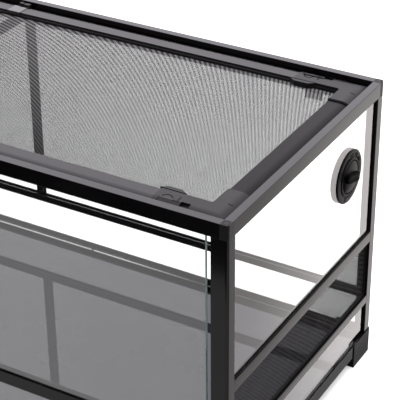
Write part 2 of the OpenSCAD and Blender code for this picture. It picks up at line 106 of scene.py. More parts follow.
def noise(n, vec, scale, detail=3.0, rough=0.5):
    t = n("ShaderNodeTexNoise")
    t.inputs["Scale"].default_value = scale
    t.inputs["Detail"].default_value = detail
    t.inputs["Roughness"].default_value = rough
    n.link(vec, t.inputs["Vector"])
    return t.outputs["Fac"]


def ramp(n, fac, lo, hi, a, b):
    r = n("ShaderNodeMapRange")
    r.inputs["From Min"].default_value = lo
    r.inputs["From Max"].default_value = hi
    r.inputs["To Min"].default_value = a
    r.inputs["To Max"].default_value = b
    n.link(fac, r.inputs["Value"])
    return r.outputs["Result"]


def mixc(n, fac, a, b):
    m = n("ShaderNodeMix", data_type="RGBA")
    for s, v in ((m.inputs[6], a), (m.inputs[7], b)):
        if isinstance(v, (tuple, list)):
            s.default_value = (*v[:3], 1)
        else:
            n.link(v, s)
    n.link(fac, m.inputs[0])
    return m.outputs[2]


def bump(n, h, strength, dist, normal=None):
    b = n("ShaderNodeBump")
    b.inputs["Strength"].default_value = strength
    b.inputs["Distance"].default_value = dist
    n.link(h, b.inputs["Height"])
    if normal is not None:
        n.link(normal, b.inputs["Normal"])
    return b.outputs["Normal"]


def solid(name, dark, light, rough=(0.35, 0.5), spec=0.5, grain=1400.0, grain_h=0.00004, edge=0.0006, metal=0.0,
          wear=None, brushed=None, coat=0.0):
    m, nt = new_mat(name)
    n = N(nt)
    out = n("ShaderNodeOutputMaterial")
    p = n("ShaderNodeBsdfPrincipled")
    tc = n("ShaderNodeTexCoord").outputs["Object"]
    big = noise(n, tc, 9.0, 4.0)
    fine = noise(n, tc, grain, 2.0)
    col = mixc(n, ramp(n, big, 0.3, 0.7, 0.0, 1.0), dark, light)
    r = ramp(n, big, 0.25, 0.75, rough[0], rough[1])
    bev = n("ShaderNodeBevel")
    bev.samples = 4
    bev.inputs["Radius"].default_value = edge
    if wear is not None:
        # paint rubbed a little lighter along the edges
        geo = n("ShaderNodeNewGeometry")
        d = n("ShaderNodeVectorMath", operation="DOT_PRODUCT")
        n.link(bev.outputs["Normal"], d.inputs[0])
        n.link(geo.outputs["True Normal"], d.inputs[1])
        e = ramp(n, d.outputs["Value"], 0.999, 0.93, 0.0, 1.0)
        mm = n("ShaderNodeMath", operation="MULTIPLY")
        n.link(e, mm.inputs[0])
        n.link(ramp(n, noise(n, tc, 60.0, 5.0), 0.35, 0.6, 0.0, 1.0), mm.inputs[1])
        col = mixc(n, mm.outputs[0], col, wear)
    if brushed is not None:
        mp = n("ShaderNodeMapping")
        mp.inputs["Scale"].default_value = brushed
        n.link(tc, mp.inputs["Vector"])
        fine = noise(n, mp.outputs["Vector"], 1.0, 3.0)
    n.link(col, p.inputs["Base Color"])
    n.link(r, p.inputs["Roughness"])
    p.inputs["Specular IOR Level"].default_value = spec
    p.inputs["Metallic"].default_value = metal
    if coat:
        p.inputs["Coat Weight"].default_value = coat
        p.inputs["Coat Roughness"].default_value = 0.12
    n.link(bump(n, fine, 0.5, grain_h, bev.outputs["Normal"]), p.inputs["Normal"])
    n.link(p.outputs[0], out.inputs["Surface"])
    return m


def thin_glass(name, tint, edge_col, gain, big_axis):
    """clear pane: see-through with a Fresnel reflection on its front face, green where it is seen edge on"""
    m, nt = new_mat(name)
    n = N(nt)
    out = n("ShaderNodeOutputMaterial")
    tc = n("ShaderNodeTexCoord")
    tr = n("ShaderNodeBsdfTransparent")
    tr.inputs["Color"].default_value = (*tint, 1)
    gl = n("ShaderNodeBsdfGlossy")
    gl.inputs["Color"].default_value = (1, 1, 1, 1)
    smear = noise(n, tc.outputs["Object"], 5.0, 5.0, 0.6)
    n.link(ramp(n, smear, 0.3, 0.75, 0.004, 0.03), gl.inputs["Roughness"])
    fr = n("ShaderNodeFresnel")
    fr.inputs["IOR"].default_value = 1.5
    geo = n("ShaderNodeNewGeometry")
    inv = n("ShaderNodeMath", operation="SUBTRACT")
    inv.inputs[0].default_value = 1.0
    n.link(geo.outputs["Backfacing"], inv.inputs[1])
    f = n("ShaderNodeMath", operation="MULTIPLY")
    n.link(fr.outputs[0], f.inputs[0])
    n.link(inv.outputs[0], f.inputs[1])
    f2 = n("ShaderNodeMath", operation="MULTIPLY", use_clamp=True)
    n.link(f.outputs[0], f2.inputs[0])
    n.link(ramp(n, smear, 0.2, 0.8, gain * 0.93, gain * 1.07), f2.inputs[1])
    face = n("ShaderNodeMixShader")
    n.link(f2.outputs[0], face.inputs[0])
    n.link(tr.outputs[0], face.inputs[1])
    n.link(gl.outputs[0], face.inputs[2])
    # ground edges
    ed = n("ShaderNodeBsdfPrincipled")
    n.link(mixc(n, ramp(n, noise(n, tc.outputs["Object"], 45.0, 3.0), 0.3, 0.7, 0.0, 1.0), edge_col, tuple(c * 1.25 for c in edge_col)), ed.inputs["Base Color"])
    ed.inputs["Roughness"].default_value = 0.22
    n.link(bump(n, noise(n, tc.outputs["Object"], 900.0, 2.0), 0.3, 0.00003), ed.inputs["Normal"])
    inn = n("ShaderNodeBsdfTransparent")
    inn.inputs["Color"].default_value = (0.30, 0.42, 0.39, 1)
    em = n("ShaderNodeMixShader")
    n.link(geo.outputs["Backfacing"], em.inputs[0])
    n.link(ed.outputs[0], em.inputs[1])
    n.link(inn.outputs[0], em.inputs[2])
    sx = n("ShaderNodeSeparateXYZ")
    n.link(tc.outputs["Normal"], sx.inputs[0])
    ab = n("ShaderNodeMath", operation="ABSOLUTE")
    n.link(sx.outputs[big_axis], ab.inputs[0])
    is_face = n("ShaderNodeMath", operation="GREATER_THAN")
    n.link(ab.outputs[0], is_face.inputs[0])
    is_face.inputs[1].default_value = 0.7
    mx = n("ShaderNodeMixShader")
    n.link(is_face.outputs[0], mx.inputs[0])
    n.link(em.outputs[0], mx.inputs[1])
    n.link(face.outputs[0], mx.inputs[2])
    n.link(mx.outputs[0], out.inputs["Surface"])
    return m


def wire(name, dark, light, h, k, axes, spec=0.2, shift=0.0, fade=None):
    """metal thread with painted shimmer: its colour runs in fine light and dark bands that stand for the moiré the fine
    weave shows
    """
    m, nt = new_mat(name)
    n = N(nt)
    out = n("ShaderNodeOutputMaterial")
    p = n("ShaderNodeBsdfPrincipled")
    tc = n("ShaderNodeTexCoord").outputs["Object"]
    sx = n("ShaderNodeSeparateXYZ")
    n.link(tc, sx.inputs[0])
    a, b = sx.outputs[axes[0]], sx.outputs[axes[1]]
    if shift:
        sh = n("ShaderNodeMath", operation="SUBTRACT")
        n.link(a, sh.inputs[0])
        sh.inputs[1].default_value = shift
        a = sh.outputs[0]

    def lin(ka, kb, c):
        m1 = n("ShaderNodeMath", operation="MULTIPLY_ADD")
        n.link(a, m1.inputs[0])
        m1.inputs[1].default_value = ka
        m1.inputs[2].default_value = c
        m2 = n("ShaderNodeMath", operation="MULTIPLY_ADD")
        n.link(b, m2.inputs[0])
        m2.inputs[1].default_value = kb
        n.link(m1.outputs[0], m2.inputs[2])
        return m2.outputs[0]

    def op(kind, x, y):
        q = n("ShaderNodeMath", operation=kind)
        for i, v in enumerate((x, y)):
            if v is None:
                continue
            if isinstance(v, (int, float)):
                q.inputs[i].default_value = v
            else:
                n.link(v, q.inputs[i])
        return q.outputs[0]

    # a chirp: a straight-line phase plus a quotient of two straight lines
    num = lin(k[0] * h[0] + k[1] * h[3], k[0] * h[1] + k[1] * h[4], k[0] * h[2] + k[1] * h[5])
    ph = op("ADD", op("DIVIDE", num, lin(h[6], h[7], 1.0)), lin(1000 * k[2], 1000 * k[3], 0.0))
    st = op("SINE", op("MULTIPLY", ph, 2 * math.pi), None)
    var = ramp(n, noise(n, tc, 14.0, 3.0), 0.3, 0.7, 0.75, 1.0)
    f = op("MULTIPLY_ADD", op("MULTIPLY", st, var), 0.5)
    f.node.inputs[2].default_value = 0.5
    # painted shimmer fades along fade: on the top cloth the bands and the colour grow darker towards the front (-y)
    if fade:
        f = op("MULTIPLY", f, ramp(n, b, *fade))
    n.link(mixc(n, f, dark, light), p.inputs["Base Color"])
    n.link(ramp(n, noise(n, tc, 25.0, 3.0), 0.3, 0.7, 0.4, 0.55), p.inputs["Roughness"])
    p.inputs["Specular IOR Level"].default_value = spec
    n.link(bump(n, noise(n, tc, 2500.0, 2.0), 0.3, 0.00002), p.inputs["Normal"])
    n.link(p.outputs[0], out.inputs["Surface"])
    return m


M = {}
M["alu"] = solid("black_anodised", (0.0012, 0.0010, 0.0013), (0.0020, 0.0017, 0.0021), (0.09, 0.14), 0.5, 700.0, 0.000006)
M["alu_top"] = solid("black_anodised_screen", (0.0022, 0.0018, 0.0022), (0.0034, 0.0029, 0.0034), (0.20, 0.26), 0.36, 700.0, 0.000006)
M["alu_side"] = solid("black_anodised_screen_side", (0.0022, 0.0018, 0.0022), (0.0034, 0.0029, 0.0034), (0.36, 0.42), 0.12, 700.0, 0.000006)
M["plastic"] = solid("black_moulding", (0.0035, 0.0032, 0.0035), (0.005, 0.0047, 0.0052), (0.34, 0.42), 0.26, 1500.0, 0.00004)
M["rubber"] = solid("glazing_rubber", (0.0016, 0.0015, 0.0016), (0.0028, 0.0027, 0.0028), (0.55, 0.7), 0.15, 700.0, 0.00004)
M["floor"] = solid("bottom_sheet", (0.019, 0.019, 0.029), (0.025, 0.025, 0.037), (0.01, 0.03), 0.56, 300.0, 0.000002)
M["vent"] = solid("vent_moulding", (0.0022, 0.002, 0.0022), (0.0036, 0.0033, 0.0036), (0.34, 0.44), 0.11, 900.0, 0.00012)
# near black with almost no gloss, darker than the vent moulding: painted shade for the dial's grip and for the black
# strips that stand for shadows in the vent flange groove, beside the rear inlet sliders and at the rear corner
# mouldings
M["grip"] = solid("vent_grip_painted_shade", (0.0004, 0.0004, 0.0004), (0.0008, 0.0008, 0.0008), (0.5, 0.6), 0.03, 900.0, 0.00004)
M["saddle"] = solid("bright_saddle", (0.010, 0.009, 0.010), (0.014, 0.013, 0.014), (0.12, 0.18), 0.95, 900.0, 0.00002)
M["nut"] = solid("grey_moulding", (0.034, 0.035, 0.034), (0.048, 0.049, 0.048), (0.4, 0.5), 0.4, 1600.0, 0.00004)
M["steel"] = solid("plated_steel", (0.45, 0.45, 0.46), (0.55, 0.55, 0.56), (0.25, 0.4), 0.5, 900.0, 0.00002, metal=1.0)
GREEN = (0.15, 0.24, 0.22)
M["glass_side"] = thin_glass("side_pane_glass", (0.93, 0.94, 0.935), GREEN, 1.95, 0)
M["glass_back"] = thin_glass("back_pane_glass", (0.985, 0.992, 0.988), GREEN, 1.2, 1)
M["glass_front"] = thin_glass("door_pane_glass", (0.985, 0.992, 0.988), GREEN, 4.6, 1)
# painted shimmer: light and dark bands of the cloth, standing for the moiré of the weave, laid out along a
# perspective-like chirp, in metres of the cloth plane
H_TOP = (545.7396, 403.1382, -57.3420, 128.1498, -230.2670, 58.7597, -0.194739, 0.336043)
K_TOP = (1.04233, -0.025489, -0.494436, -0.269548)
H_SIDE = (408.7044, -50.0448, 297.5974, -233.4463, -635.8305, 427.0592, 0.340683, -0.230780)
K_SIDE = (-0.137115, 0.797917, 0.216326, 0.334278)
M["cloth"] = wire("wire_cloth", (0.0, 0.0, 0.0), (0.27, 0.26, 0.27), H_TOP, K_TOP, (0, 1), 0.1, W2 - 0.6095, (-0.17, 0.17, 0.25, 1.05))
M["side_cloth"] = wire("side_wire_cloth", (0.0, 0.0, 0.0), (0.030, 0.028, 0.0285), H_SIDE, K_SIDE, (1, 2), 0.1)

SLOT = {"frame_aluminium": "alu", "black_plastic": "plastic", "glass": "glass_side", "floor_sheet": "floor",
        "gasket_rubber": "rubber", "mesh_cloth": "cloth", "side_mesh": "plastic", "nut_plastic": "nut", "steel_small": "steel"}
slots = {s["node"]: s["material_slot"] for s in frame["record"]["subparts"]}
body_of = {k: body for body, members in frame["record"]["behaviour"]["bodies"].items() for k in members}


def coat(o, m):
    o.data.materials.clear()
    o.data.materials.append(m)


for name, o in NODES.items():
    coat(o, M[SLOT[slots[name]]])
for name in ("door_glass_left", "door_glass_right", "glass_front_lower"):
    coat(NODES[name], M["glass_front"])
for name in ("glass_back_upper_left", "glass_back_upper_right", "glass_back_lower"):
    coat(NODES[name], M["glass_back"])


def put(name, me, mat, body, replaces=(), smooth=None, weighted=False):
    o = D.objects.new(name, me)
    SC.collection.objects.link(o)
    me.materials.clear()
    me.materials.append(mat)
    if smooth is not None:
        me.polygons.foreach_set("use_smooth", [True] * len(me.polygons))
        me.set_sharp_from_angle(angle=math.radians(smooth))
    if weighted:
        # wide faces stay flat, and only the narrow rounded ones turn the light
        wn = o.modifiers.new("weighted", "WEIGHTED_NORMAL")
        wn.mode, wn.weight, wn.keep_sharp = "FACE_AREA", 100, True
        dg = bpy.context.evaluated_depsgraph_get()
        done = D.meshes.new_from_object(o.evaluated_get(dg))
        o.modifiers.clear()
        o.data = done
        D.meshes.remove(me)
        done.name = name
    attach(o, body)
    if replaces:
        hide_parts(*replaces)
    return o


def mesh_piece(name, verts, faces, mat, body, replaces=(), smooth=None):
    me = D.meshes.new(name)
    me.from_pydata([tuple(v) for v in verts], [], [tuple(f) for f in faces])
    me.validate()
    me.update()
    return put(name, me, mat, body, replaces, smooth)


# ---------------------------------------------------------------- extrusions and mouldings with eased edges
def eased(name, mat, body, width=0.0005, seg=2, angle=25.0):
    """the node's own shape, with every sharp edge rounded as real extrusion and moulding edges are"""
    bm = bmesh.new()
    bm.from_mesh(NODES[name].data)
    bmesh.ops.remove_doubles(bm, verts=bm.verts, dist=1e-6)
    bmesh.ops.dissolve_limit(bm, angle_limit=math.radians(0.6), verts=bm.verts, edges=bm.edges)
    sharp = [e for e in bm.edges if len(e.link_faces) == 2 and e.calc_face_angle(0.0) > math.radians(angle)]
    bmesh.ops.bevel(bm, geom=sharp, offset=width, offset_type="OFFSET", segments=seg, profile=0.5, clamp_overlap=True, affect="EDGES")
    bmesh.ops.remove_doubles(bm, verts=bm.verts, dist=1e-7)
    bad = sum(1 for e in bm.edges if not e.is_manifold)
    me = D.meshes.new(name + "_eased")
    bm.to_mesh(me)
    bm.free()
    if bad:
        print("EASED", name, "open edges", bad)
        D.meshes.remove(me)
        return None
    return put(name + "_eased", me, mat, body, [name], 50.0, True)


RAILS = [k for k in NODES if slots[k] == "frame_aluminium"]
for k in RAILS:
    eased(k, M["alu_side" if k in ("screen_rail_left", "screen_rail_right") else "alu_top" if k.startswith("screen") else "alu"], body_of[k])


# ---------------------------------------------------------------- wire cloth
def wires(runs, d):
    """round wires (six sided) of diameter d: a list of (start, end, side, up)"""
    V, F = [], []
    ring = [(math.cos(math.radians(a)) * d / 2, math.sin(math.radians(a)) * d / 2) for a in range(0, 360, 60)]
    for a, b, s, u in runs:
        k = len(V)
        for e in (a, b):
            for i, j in ring:
                V.append(e + s * i + u * j)
        for i in range(6):
            j = (i + 1) % 6
            F.append((k + i, k + j, k + 6 + j, k + 6 + i))
        F.append(tuple(k + i for i in range(5, -1, -1)))
        F.append(tuple(k + 6 + i for i in range(6)))
    return V, F


def cloth(name, o, eu, ev, lu, lv, pitch, d, mat, body, replaces):
    un = eu.cross(ev).normalized()
    nu, nv = round(lu / pitch), round(lv / pitch)
    runs = []
    for i in range(nv):
        c = o + ev * (lv * (i + 0.5) / nv) + un * (d * 0.47)
        runs.append((c, c + eu * lu, un.cross(eu), un))
    for i in range(nu):
        c = o + eu * (lu * (i + 0.5) / nu) - un * (d * 0.47)
        runs.append((c, c + ev * lv, un.cross(ev), un))
    V, F = wires(runs, d)
    return mesh_piece(name, V, F, mat, body, replaces, 80.0)


MOULDED = ["corner_connectors", "screen_corners", "door_shoes_left", "door_shoes_right", "door_pull_left", "door_lock_case",
           "door_lock_knob", "inlet_slider_front_left", "inlet_slider_front_right", "inlet_slider_back_left",
           "inlet_slider_back_right", "foot_front_left", "foot_front_right", "foot_back_left", "foot_back_right"]
for k in MOULDED:
    eased(k, M[SLOT[slots[k]]], body_of[k],
          0.0012 if k.startswith("foot") else 0.0002 if k.startswith(("screen", "inlet")) else 0.0004, 3 if k.startswith("foot") else 2)


# ---------------------------------------------------------------- rotary vents
def lathe(name, rings, at, sgn, mat, body, replaces, height=None, steps=96):
    """closed ring or disc turned about the side's normal; rings are (radius, distance out of the side), outline closed"""
    V, F = [], []
    for k in range(steps):
        a = 2 * math.pi * k / steps
        for r, out in rings:
            y, z = r * math.cos(a), r * math.sin(a)
            h = out if height is None else height(r, out, y, z)
            V.append((sgn * (W2 + h), at[0] + y, at[1] + z))
    m = len(rings)
    for k in range(steps):
        k2 = (k + 1) % steps
        for i in range(m):
            j = (i + 1) % m
            q = (k * m + i, k2 * m + i, k2 * m + j, k * m + j)
            F.append(q if sgn > 0 else q[::-1])
    me = D.meshes.new(name)
    me.from_pydata(V, [], F)
    bm = bmesh.new()
    bm.from_mesh(me)
    bmesh.ops.remove_doubles(bm, verts=bm.verts, dist=1e-7)
    bmesh.ops.recalc_face_normals(bm, faces=bm.faces)
    bm.to_mesh(me)
    bm.free()
    return put(name, me, mat, body, replaces, 35.0)


def mm(*pairs):
    return [(a / 1000.0, b / 1000.0) for a, b in pairs]


E1 = (math.cos(math.radians(-15.0)), math.sin(math.radians(-15.0)))
E2 = (-E1[1], E1[0])


def dome(r, out, y, z):
    """lower half swells out towards the grip, upper half a little"""
    if r > 0.0236 or out < -0.003:
        return out
    w = y * E2[0] + z * E2[1]
    k = 1.0 - (r / 0.0236) ** 2
    return out + (0.0052 if w < 0 else 0.0022) * max(k, 0.0) ** 0.6


def grip(name, sgn, mat, body, replaces):
    """bar across the dial with sloping sides, a hollowed top and rounded ends"""
    n_l, prof = 25, [(-0.0068, -0.0002), (-0.0066, 0.0036), (-0.0060, 0.0064), (-0.0050, 0.0068), (-0.0020, 0.0056),
                     (0.0020, 0.0056), (0.0050, 0.0068), (0.0060, 0.0064), (0.0066, 0.0036), (0.0068, -0.0002), (0.0, -0.0006)]
    V, F = [], []
    for k in range(n_l):
        t = -1 + 2.0 * k / (n_l - 1)
        end = math.sqrt(max(1.0 - abs(t) ** 6, 0.0))
        for w, h in prof:
            l = t * (0.0232 - 1.2 * w * w / 0.0232)
            ww, hh = w * (0.55 + 0.45 * end), (h if h < 0 else h * (0.45 + 0.55 * end))
            V.append((sgn * (W2 + hh), VY + l * E1[0] + ww * E2[0], VZ + l * E1[1] + ww * E2[1]))
    m = len(prof)
    for k in range(n_l - 1):
        for i in range(m):
            j = (i + 1) % m
            F.append((k * m + i, k * m + j, (k + 1) * m + j, (k + 1) * m + i))
    F.append(tuple(range(m)))
    F.append(tuple((n_l - 1) * m + i for i in range(m - 1, -1, -1)))
    me = D.meshes.new(name)
    me.from_pydata(V, [], F)
    bm = bmesh.new()
    bm.from_mesh(me)
    bmesh.ops.recalc_face_normals(bm, faces=bm.faces)
    bm.to_mesh(me)
    bm.free()
    return put(name, me, mat, body, replaces, 40.0)


def painted_groove_shadow(name, items, sgn, mat, body, replaces):
    """painted shadow: thin black arcs laid on the flange face, standing for the shade in the ring groove between flange
    and dial: (inner radius, outer radius, from, to) in degrees
    """
    V, F = [], []
    for r0, r1, a0, a1 in items:
        k0, m = len(V), 9
        for i in range(m):
            a = math.radians(a0 + (a1 - a0) * i / (m - 1))
            for r in (r0, r1):
                for o in (-0.0019, -0.00152):
                    V.append((sgn * (W2 + o), VY + r * math.cos(a), VZ + r * math.sin(a)))
        for i in range(m - 1):
            b, c = k0 + 4 * i, k0 + 4 * i + 4
            for p, q in ((0, 1), (1, 3), (3, 2), (2, 0)):
                F.append((b + p, b + q, c + q, c + p))
        F.append((k0, k0 + 2, k0 + 3, k0 + 1))
        e = k0 + 4 * (m - 1)
        F.append((e, e + 1, e + 3, e + 2))
    me = D.meshes.new(name)
    me.from_pydata(V, [], F)
    bm = bmesh.new()
    bm.from_mesh(me)
    bmesh.ops.recalc_face_normals(bm, faces=bm.faces)
    bm.to_mesh(me)
    bm.free()
    return put(name, me, mat, body, replaces, 40.0)


for sgn, side in ((1, "right"), (-1, "left")):
    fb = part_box("vent_flanges")
    inner = -(W2 - float(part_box("vent_nuts")[1][0]))      # face of the nut towards the glass
    NUT_T = 0.0058
    lathe("vent_flange_" + side, mm((28.1, -1.5), (29.2, -1.5), (29.4, -3.0), (30.9, -3.0), (31.2, -1.55), (37.6, -1.65), (39.4, -2.0), (40.2, -2.9),
          (40.2, -3.55), (30.55, -3.55), (30.55, -14.6), (28.1, -14.6)), (VY, VZ), sgn, M["vent"], "tank", ["vent_flanges"])
    lathe("vent_base_" + side, mm((0.01, -8.0), (28.0, -8.0), (28.0, -9.9), (0.01, -9.9)), (VY, VZ), sgn, M["vent"], "tank", ["vent_flanges"])
    lathe("vent_nut_" + side, [(0.0308, inner - 0.0002), (0.0396, inner - 0.0002), (0.0402, inner - 0.0008), (0.0402, inner - NUT_T + 0.0006), (0.0394, inner - NUT_T), (0.0308, inner - NUT_T)],
          (VY, VZ), sgn, M["nut"], "tank", ["vent_nuts"])
    db = "vent_dial_" + side
    rr = [(27.85, -7.4), (27.85, -0.9), (27.4, -0.55), (25.5, -0.55), (25.3, -4.5), (23.9, -4.5), (23.6, -0.9)] + [(23.6 - 1.6 * i, -0.9) for i in range(1, 14)] + [(0.6, -0.9), (0.01, -0.9), (0.01, -7.4)]
    lathe("vent_dial_face_" + side, mm(*rr), (VY, VZ), sgn, M["vent"], db, [db], dome)
    grip("vent_dial_grip_" + side, sgn, M["grip"], db, [db])
    # black arcs of painted shadow on the flange face
    painted_groove_shadow("vent_flange_groove_shadow_" + side, [(0.0314, 0.0350, 22, 40), (0.0314, 0.0356, 48, 66), (0.0318, 0.0346, 74, 94), (0.0314, 0.0332, 104, 150), (0.0314, 0.0362, -118, -110)], sgn, M["grip"], "tank", ["vent_flanges"])

X, Y, Z = Vector((1, 0, 0)), Vector((0, 1, 0)), Vector((0, 0, 1))
lx, ly = 2 * (W2 - SI), 2 * (D2 - SI)
cloth("screen_cloth", Vector((-W2 + SI, -D2 + SI, ZM)), X, Y, lx, ly, 0.0013, 0.00047, M["cloth"], "screen_top", ["screen_mesh"])

def boxes(name, items, mat, body, replaces=(), width=0.0004, seg=2):
    """several closed blocks in one piece, with eased edges"""
    bm = bmesh.new()
    for (x0, x1, y0, y1, z0, z1) in items:
        r = bmesh.ops.create_cube(bm, size=1.0)
        for v in r["verts"]:
            v.co = Vector(((x0 + x1) / 2 + v.co.x * (x1 - x0), (y0 + y1) / 2 + v.co.y * (y1 - y0), (z0 + z1) / 2 + v.co.z * (z1 - z0)))
    if width:
        bmesh.ops.bevel(bm, geom=list(bm.edges), offset=width, offset_type="OFFSET", segments=seg, profile=0.5, clamp_overlap=True, affect="EDGES")
    me = D.meshes.new(name)
    bm.to_mesh(me)
    bm.free()
    return put(name, me, mat, body, replaces, 50.0, True)


for sgn, side in ((1, "right"), (-1, "left")):
    ya, za, zb_ = 0.2065, 0.116, 0.2047
    b0, b1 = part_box("side_screen_" + side)
    xa, xb = b0[0], b1[0]
    fr = boxes("side_screen_frame_" + side, [
        (xa, xb, b0[1], b1[1], b0[2], za), (xa, xb, b0[1], b1[1], zb_, b1[2]),
        (xa, xb, b0[1], -ya, za + 1e-5, zb_ - 1e-5), (xa, xb, ya, b1[1], za + 1e-5, zb_ - 1e-5)],
        M["plastic"], "tank", ["side_screen_" + side])
    cloth("side_screen_cloth_" + side, Vector(((xb if sgn > 0 else xa) - sgn * 0.002, -ya, za)), Y, Z, 2 * ya, zb_ - za, 0.0012, 0.00033,
          M["side_cloth"], "tank", ["side_screen_" + side])

# painted highlight: a pale strip along the low inner wall of the rear bottom rail, standing for the highlight on the
# rail's inner edge
bm_, bnt = new_mat("painted_highlight_strip")
n = N(bnt)
bo, bp = n("ShaderNodeOutputMaterial"), n("ShaderNodeBsdfPrincipled")
btc = n("ShaderNodeTexCoord").outputs["Object"]
bx = n("ShaderNodeSeparateXYZ")
n.link(btc, bx.inputs[0])
bab = n("ShaderNodeMath", operation="ABSOLUTE")
n.link(bx.outputs[0], bab.inputs[0])
# painted highlight: white where |x| is below 0.16, fading to dark grey beyond 0.30
n.link(mixc(n, ramp(n, bab.outputs[0], 0.16, 0.30, 0.0, 1.0), (0.95, 0.95, 0.95), (0.10, 0.10, 0.10)), bp.inputs["Base Color"])
n.link(ramp(n, noise(n, btc, 120.0, 3.0), 0.3, 0.7, 0.2, 0.4), bp.inputs["Roughness"])
n.link(bump(n, noise(n, btc, 500.0, 2.0), 0.4, 0.0001), bp.inputs["Normal"])
n.link(bp.outputs[0], bo.inputs["Surface"])
M["bead"] = bm_
PXB = W2 - 0.0180
boxes("sealing_bead_back", [(-PXB, 0.1005, D2 - 0.0109, D2 - 0.0086, 0.0300, 0.0318), (0.1045, PXB, D2 - 0.0109, D2 - 0.0086, 0.0300, 0.0318)], M["bead"], "tank", ["glazing_gaskets"], 0.0003, 2)
gk = D.meshes.new("glazing_gaskets_look")
bm = bmesh.new()
bm.from_mesh(NODES["glazing_gaskets"].data)
bmesh.ops.dissolve_limit(bm, angle_limit=math.radians(0.6), verts=bm.verts, edges=bm.edges)
bm.to_mesh(gk)
bm.free()
put("glazing_gaskets_look", gk, M["rubber"], "tank", ["glazing_gaskets"], 40.0)

# ---------------------------------------------------------------- saddles over the middle of the long screen rails
def crown_z(d, e):
    q = (d - SO) / 0.017
    return ZS + e if q >= 1 else ZS + e - 0.0105 + 0.0105 * math.sqrt(max(1 - (1 - q) ** 2, 0.0))


# painted shadow: black strips beside the rear inlet sliders, standing for the shade along the sliders' inner edge and
# under the two small bumps beside them
CZ = ZS - 0.0105 + 0.0105 * math.sqrt(1 - (1 - (D2 - 0.2095 - SO) / 0.017) ** 2)
for sgn, side in ((1, "right"), (-1, "left")):
    items = []
    for xa, xb, ya, yb, za, zb_ in ((0.1130, 0.0815, 0.1971, 0.1991, ZS + 0.0004, ZS + 0.0011),
                                    (0.0815, 0.0695, 0.2085, 0.2105, CZ - 0.0004, CZ + 0.0012),
                                    (0.0640, 0.0520, 0.2085, 0.2105, CZ - 0.0004, CZ + 0.0012)):
        x0, x1 = sorted((sgn * (W2 - xa), sgn * (W2 - xb)))
        items.append((x0, x1, ya, yb, za, zb_))
    boxes("inlet_shadow_lines_back_" + side, items, M["grip"], "screen_top", ["screen_corners"], 0.0001, 1)

# painted shadow: a black strip where the rear corner mouldings end on the crown of the side rails, standing for the
# shade of the step there
for sgn, side in ((1, "right"), (-1, "left")):
    ye, V, F = D2 - SO - 0.0740, [], []
    ds = [SO + 0.0002 + 0.0168 * i / 12 for i in range(13)] + [SO + 0.024, SO + SCRW - 0.0002]
    for d_ in ds:
        for y, e in ((ye + 0.0001, 0.0012), (ye + 0.0046, 0.0012), (ye + 0.0046, 0.0002), (ye + 0.0001, 0.0002)):
            V.append((sgn * (W2 - d_), y, crown_z(d_, e)))
    for k in range(len(ds) - 1):
        for i in range(4):
            j = (i + 1) % 4
            F.append((4 * k + i, 4 * k + j, 4 * k + 4 + j, 4 * k + 4 + i))
    F.append((3, 2, 1, 0))
    F.append(tuple(4 * len(ds) - 4 + i for i in range(4)))
    me = D.meshes.new("corner_step_shadow_" + side)
    me.from_pydata(V, [], F)
    bm = bmesh.new()
    bm.from_mesh(me)
    bmesh.ops.recalc_face_normals(bm, faces=bm.faces)
    bm.to_mesh(me)
    bm.free()
    put("corner_step_shadow_" + side, me, M["grip"], "screen_top", ["screen_corners"], 30.0)

for sgn, side in ((1, "back"), (-1, "front")):
    V, F = [], []
    ds = [SO + 0.0003 + (0.017 - 0.0003) * i / 9 for i in range(10)] + [SO + 0.026, SO + SCRW - 0.0006]
    xs = [-0.0122, -0.0118, 0.0118, 0.0122]
    for x in xs:
        lo = 0.0005 if abs(x) > 0.012 else 0.0
        for d_ in ds:
            V.append((x, sgn * (D2 - d_), crown_z(d_, 0.0008 - lo)))
        V.append((x, sgn * (D2 - ds[-1]), ZS - 0.0032))
        for d_ in reversed(ds):
            V.append((x, sgn * (D2 - d_), crown_z(d_, 0.0001)if d_ < SO + SCRW - 0.002 else ZS - 0.0032))
    m = len(V) // len(xs)
    for k in range(len(xs) - 1):
        for i in range(m):
            j = (i + 1) % m
            F.append((k * m + i, k * m + j, (k + 1) * m + j, (k + 1) * m + i))
    F.append(tuple(range(m)))
    F.append(tuple((len(xs) - 1) * m + i for i in range(m - 1, -1, -1)))
    me = D.meshes.new("saddle_" + side)
    me.from_pydata(V, [], F)
    bm = bmesh.new()
    bm.from_mesh(me)
    bmesh.ops.remove_doubles(bm, verts=bm.verts, dist=1e-7)
    bmesh.ops.triangulate(bm, faces=bm.faces)
    bmesh.ops.recalc_face_normals(bm, faces=bm.faces)
    bad = sum(1 for e in bm.edges if not e.is_manifold)
    bm.to_mesh(me)
    bm.free()
    if bad:
        print("SADDLE open edges", bad)
    put("saddle_" + side, me, M["saddle"], "screen_top", ["screen_splices"], 30.0)
    ya, yb = sorted((sgn * (D2 - SO - 0.002), sgn * (D2 - SO - 0.0095)))
    boxes("saddle_tab_" + side, [(0.0015, 0.0120, ya, yb, ZS - 0.0062, ZS + 0.0030), (-0.0075, 0.0010, ya + 0.001, yb - 0.001, ZS - 0.0062, ZS + 0.0034)],
          M["plastic"], "screen_top", ["screen_splices"], 0.0006, 3)

